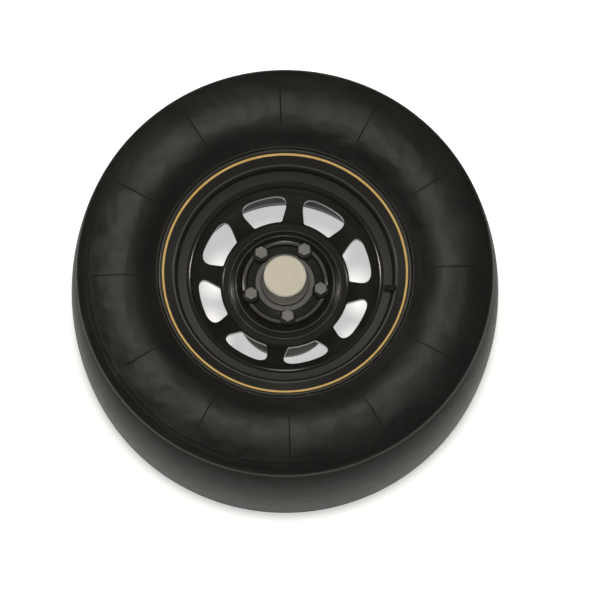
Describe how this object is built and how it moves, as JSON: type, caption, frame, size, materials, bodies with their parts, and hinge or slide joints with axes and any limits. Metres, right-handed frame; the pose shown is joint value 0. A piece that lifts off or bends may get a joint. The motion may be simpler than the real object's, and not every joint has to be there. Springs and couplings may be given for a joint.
{
  "type": "racing wheel",
  "caption": "Racing wheel: wide slick tyre on a black steel rim with a windowed stamped disc and gold pinstripe, bolted to a bearing hub that spins on a flanged stub spindle.",
  "frame": {"origin": "centre of the wheel: on the axis of rotation, midway across the tyre", "axes": "+Z along the axis of rotation, out of the face with the lug nuts and cap; +X towards the valve stem, which is 8 degrees round from it towards -Y"},
  "size_m": [0.7008, 0.7008, 0.2948],
  "materials": {
    "tyre": "dull black slick rubber",
    "wheel_paint": "gloss black enamel over steel",
    "gold_stripe": "satin gold pinstripe",
    "cast_hub": "grey cast surface with machined faces",
    "cap_metal": "grey metal, polished round the side",
    "cap_face": "plain beige disc",
    "seal_rubber": "dark brown seal rubber",
    "bearing_steel": "ground bearing steel",
    "spindle_steel": "dark forged steel, machined seats",
    "dark_steel": "oiled dark steel",
    "lug_steel": "dark grey plated steel",
    "valve_rubber": "black moulded rubber",
    "valve_plastic": "black moulded plastic",
    "brass": "dull brass"
  },
  "bodies": {
    "spindle": {"spindle": "spindle_steel", "inner_bearing_cone": "bearing_steel", "outer_bearing_cone": "bearing_steel", "spindle_washer": "bearing_steel", "spindle_nut": "dark_steel", "cotter_pin": "bearing_steel"},
    "wheel": {"tyre": "tyre", "rim_hoop": "wheel_paint", "wheel_disc": "wheel_paint", "rim_stripe": "gold_stripe", "hub": "cast_hub", "dust_cap": "cap_metal", "cap_face": "cap_face", "grease_seal": "seal_rubber", "inner_bearing_cup": "bearing_steel", "outer_bearing_cup": "bearing_steel", "valve_stem": "valve_rubber", "valve_tube": "brass", "lug_nut_1": "lug_steel", "wheel_stud_1": "dark_steel", "lug_nut_2": "lug_steel", "wheel_stud_2": "dark_steel", "lug_nut_3": "lug_steel", "wheel_stud_3": "dark_steel", "lug_nut_4": "lug_steel", "wheel_stud_4": "dark_steel", "lug_nut_5": "lug_steel", "wheel_stud_5": "dark_steel"},
    "inner_rollers": {"inner_roller_set": "bearing_steel"},
    "outer_rollers": {"outer_roller_set": "bearing_steel"},
    "valve_cap": {"valve_cap": "valve_plastic"},
    "valve_pin": {"valve_pin": "brass"}
  },
  "joints": [
    {"name": "wheel_spin", "type": "hinge", "parent": "spindle", "child": "wheel", "pos_m": [0, 0, 0], "axis": [0, 0, 1], "continuous": true},
    {"name": "inner_rollers_spin", "type": "hinge", "parent": "spindle", "child": "inner_rollers", "pos_m": [0, 0, -0.05], "axis": [0, 0, 1], "continuous": true},
    {"name": "outer_rollers_spin", "type": "hinge", "parent": "spindle", "child": "outer_rollers", "pos_m": [0, 0, 0.03], "axis": [0, 0, 1], "continuous": true},
    {"name": "valve_cap_unscrew", "type": "slide", "parent": "wheel", "child": "valve_cap", "axis": [-0.9313, 0.1251, -0.342], "range_m": [0, 0.012]},
    {"name": "valve_pin_press", "type": "slide", "parent": "wheel", "child": "valve_pin", "axis": [0.9313, -0.1251, 0.342], "range_m": [0, 0.0015], "stiffness_N_per_m": 300}
  ],
  "couplings": [
    {"joint": "inner_rollers_spin", "follows": "wheel_spin", "ratio": 0.5679},
    {"joint": "outer_rollers_spin", "follows": "wheel_spin", "ratio": 0.5705}
  ]
}
